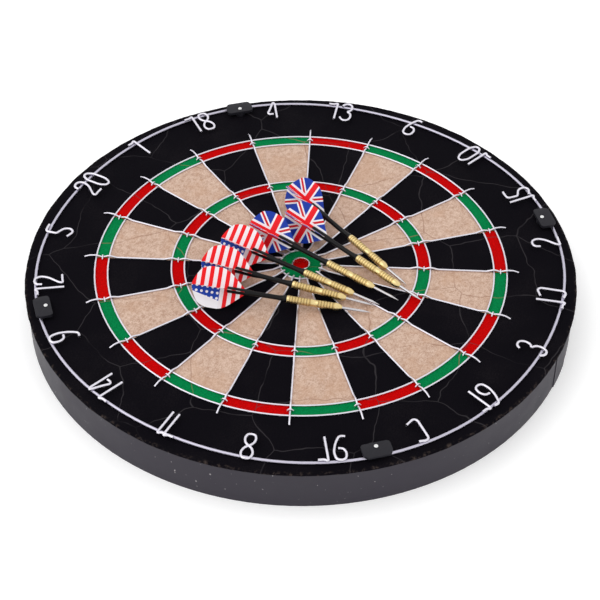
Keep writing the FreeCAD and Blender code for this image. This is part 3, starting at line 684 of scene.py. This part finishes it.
def buildWings(dart):
    # two crossed pairs of wings: each pair is a flat grid drawn in to the flight's outline
    front = -dart["barrel"] - dart["shaft"] + dart["slot"] - 0.0004
    rear = front - dart["flight"]
    wing = dart["wing"]
    pairs = []
    for pair in (0, 1):
        clearSelection()
        bpy.ops.mesh.primitive_grid_add(x_subdivisions=60, y_subdivisions=28, size=1)
        piece = bpy.context.active_object
        piece.scale = (dart["flight"], 2 * wing, 1)
        piece.location = ((front + rear) / 2, 0, 0)
        bpy.ops.object.transform_apply(location=True, rotation=True, scale=True)
        for vertex in piece.data.vertices:
            share = (vertex.co.x - rear) / dart["flight"]
            vertex.co.y *= wingShare(share, dart["wingOutline"])
        store = piece.data.attributes.new("flightPlace", "FLOAT_VECTOR", "POINT")
        for vertex, item in zip(piece.data.vertices, store.data):
            item.vector = ((vertex.co.x - rear) / dart["flight"], vertex.co.y / wing, pair)
        for vertex in piece.data.vertices:
            share = (vertex.co.x - rear) / dart["flight"]
            curl = abs(vertex.co.y / wing) ** 2 * (1 - share)
            vertex.co.z += 0.0004 * curl * math.sin(vertex.co.y / wing * 2.2 + pair)
        piece.data.transform(Matrix.Rotation(pair * math.pi / 2, 4, "X"))
        thicken = piece.modifiers.new("film", "SOLIDIFY")
        thicken.thickness = dart["film"]
        thicken.offset = 0
        applyModifiers(piece)
        pairs.append(piece)
    clearSelection()
    for piece in pairs:
        piece.select_set(True)
    bpy.context.view_layer.objects.active = pairs[0]
    bpy.ops.object.join()
    return pairs[0]


def crossFlightMaterial():
    # blue field with a white-edged red upright cross over a white and red diagonal one
    material, tree, shader = newMaterial("crossFlight", 0.42)
    shader.inputs["Specular IOR Level"].default_value = 0.22
    u, v, _ = splitPlace(tree, storedPlace(tree, "flightPlace"))
    across = calc(tree, "SUBTRACT", calc(tree, "MULTIPLY", u, 2.0), 1.0)
    acrossSize = calc(tree, "ABSOLUTE", across)
    upSize = calc(tree, "ABSOLUTE", v)
    diagonal = calc(tree, "ABSOLUTE", calc(tree, "SUBTRACT", acrossSize, upSize))
    colour = mixColour(tree, calc(tree, "LESS_THAN", diagonal, 0.17), rgb(0, 50, 160),
                       rgb(238, 236, 240))
    colour = mixColour(tree, calc(tree, "LESS_THAN", diagonal, 0.07), colour, rgb(206, 4, 24))
    whiteCross = calc(tree, "MAXIMUM", calc(tree, "LESS_THAN", acrossSize, 0.2),
                      calc(tree, "LESS_THAN", upSize, 0.25))
    colour = mixColour(tree, whiteCross, colour, rgb(240, 238, 242))
    redCross = calc(tree, "MAXIMUM", calc(tree, "LESS_THAN", acrossSize, 0.12),
                    calc(tree, "LESS_THAN", upSize, 0.14))
    colour = mixColour(tree, redCross, colour, rgb(232, 4, 22))
    tree.links.new(colour, shader.inputs["Base Color"])
    addBump(tree, shader, grain(tree, objectPlace(tree), 90, 2, 0.5), 0.2, 0.0003)
    return material


def stripeFlightMaterial():
    # red and white stripes across the flight, with a blue canton of white dots near the tail; the rest of
    # the rear lower wing is a painted highlight in near-white
    material, tree, shader = newMaterial("stripeFlight", 0.42)
    shader.inputs["Specular IOR Level"].default_value = 0.22
    place = storedPlace(tree, "flightPlace")
    u, v, _ = splitPlace(tree, place)
    stripe = calc(tree, "FRACT", calc(tree, "MULTIPLY", u, 6.5))
    colour = mixColour(tree, calc(tree, "LESS_THAN", stripe, 0.5), rgb(238, 234, 238),
                       rgb(232, 8, 20))
    rearLowerHighlightAndCanton = calc(tree, "MULTIPLY", calc(tree, "LESS_THAN", u, 0.54), calc(tree, "LESS_THAN", v, 0.0))
    cantonEdge = calc(tree, "MULTIPLY_ADD", u, -0.6, -0.28)
    # painted highlight: outside the canton, the rear half of the lower wing is filled near-white in place
    # of a glossy reflection of the light
    colour = mixColour(tree, rearLowerHighlightAndCanton, colour, rgb(240, 240, 244))
    canton = calc(tree, "MULTIPLY", rearLowerHighlightAndCanton, calc(tree, "GREATER_THAN", v, cantonEdge))
    dots = tree.nodes.new("ShaderNodeTexVoronoi")
    dots.voronoi_dimensions = "2D"
    dots.inputs["Randomness"].default_value = 0.0
    stretch = tree.nodes.new("ShaderNodeMapping")
    stretch.inputs["Scale"].default_value = (2.5, 1.0, 1.0)
    plug(tree, stretch.inputs["Vector"], place)
    plug(tree, dots.inputs["Vector"], stretch.outputs[0])
    dots.inputs["Scale"].default_value = 4.0
    star = calc(tree, "LESS_THAN", dots.outputs["Distance"], 0.26)
    blue = mixColour(tree, star, rgb(8, 62, 172), rgb(244, 244, 248))
    colour = mixColour(tree, canton, colour, blue)
    tree.links.new(colour, shader.inputs["Base Color"])
    addBump(tree, shader, grain(tree, objectPlace(tree), 90, 2, 0.5), 0.2, 0.0003)
    return material


def buildDarts(dart, places):
    barrel = turnedPiece("barrelPattern", barrelProfile(dart), 40)
    storePlace(barrel, "dartPlace")
    smoothByAngle(barrel, 40)
    setMaterial(barrel, brassMaterial(dart))
    shaft = turnedPiece("shaftPattern", shaftProfile(dart), 32)
    cutFork(shaft, dart)
    smoothByAngle(shaft, 40)
    setMaterial(shaft, plasticMaterial("shaftNylon", finishes["nylonColour"], 0.32, 900))
    wings = buildWings(dart)
    smoothByAngle(wings, 30)
    pointMetal = wireMaterial("pointSteel", finishes["pointColour"], 0.26)
    crossFilm = crossFlightMaterial()
    stripeFilm = stripeFlightMaterial()
    for number, place in enumerate(places, start=1):
        matrix = dartMatrix(place, dart)
        body = f"dart_{number}"
        putCopy(barrel, f"barrel{number}", matrix, body, "brass", f"dart_{number}_barrel")
        putCopy(shaft, f"shaft{number}", matrix, body, "nylon", f"dart_{number}_shaft")
        film = putCopy(wings, f"flight{number}", matrix, body,
                       "flight_cross" if number < 4 else "flight_stripe", f"dart_{number}_flight")
        setMaterial(film, crossFilm if number < 4 else stripeFilm)
        setMaterial(nodes[f"dart_{number}_point"], pointMetal)
    for pattern in (barrel, shaft, wings):
        discard(pattern)


buildDarts(dartSize, dartPlaces)
print("darts done")


# floor, light and camera

stageLook = {
    "floorSize": 12.0,
    "floor": rgb(250, 250, 250),
    "floorGlow": 0.22,
    "sky": 1.0,
    "keyPower": 12.0,
    "keySize": 2.2,
    "keyPlace": (-0.9, 1.1, 1.9),
    "cameraPlace": (-0.9199, -0.5207, 1.0026),
    "aim": (0.63068, 0.35742, -0.68883),
    "cameraRight": (0.49747, -0.86746, 0.00537),
    "lens": 103.75,
    "sensor": 36,
    "farClip": 50,
}


def buildStage(look):
    clearSelection()
    bpy.ops.mesh.primitive_plane_add(size=look["floorSize"], location=(0, 0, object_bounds()[0][2]))
    floor = bpy.context.active_object
    floor.name = "studioFloor"
    bpy.ops.object.transform_apply(location=True, rotation=True, scale=True)
    material, _, shader = newMaterial("paleFloor", 0.9, 0.0, look["floor"])
    shader.inputs["Emission Color"].default_value = look["floor"]
    shader.inputs["Emission Strength"].default_value = look["floorGlow"]
    setMaterial(floor, material)
    floor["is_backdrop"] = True

    world = bpy.data.worlds.new("softStudio")
    world.use_nodes = True
    world.node_tree.nodes["Background"].inputs[0].default_value = (1, 1, 1, 1)
    world.node_tree.nodes["Background"].inputs[1].default_value = look["sky"]
    bpy.context.scene.world = world
    bpy.context.scene.view_settings.view_transform = "Standard"

    key = bpy.data.lights.new("keyPanel", "AREA")
    key.energy = look["keyPower"]
    key.size = look["keySize"]
    panel = bpy.data.objects.new("keyPanel", key)
    bpy.context.scene.collection.objects.link(panel)
    panel.location = look["keyPlace"]
    panel.rotation_euler = (-Vector(look["keyPlace"])).to_track_quat("-Z", "Y").to_euler()

    right = Vector(look["cameraRight"]).normalized()
    back = -Vector(look["aim"]).normalized()
    up = back.cross(right)
    lens = bpy.data.cameras.new("view")
    lens.lens = look["lens"]
    lens.sensor_width = look["sensor"]
    lens.clip_end = look["farClip"]
    camera = bpy.data.objects.new("view", lens)
    bpy.context.scene.collection.objects.link(camera)
    turn = Matrix((right, up, back)).transposed().to_4x4()
    camera.matrix_world = Matrix.Translation(look["cameraPlace"]) @ turn
    bpy.context.scene.camera = camera


buildStage(stageLook)
print("stage done")
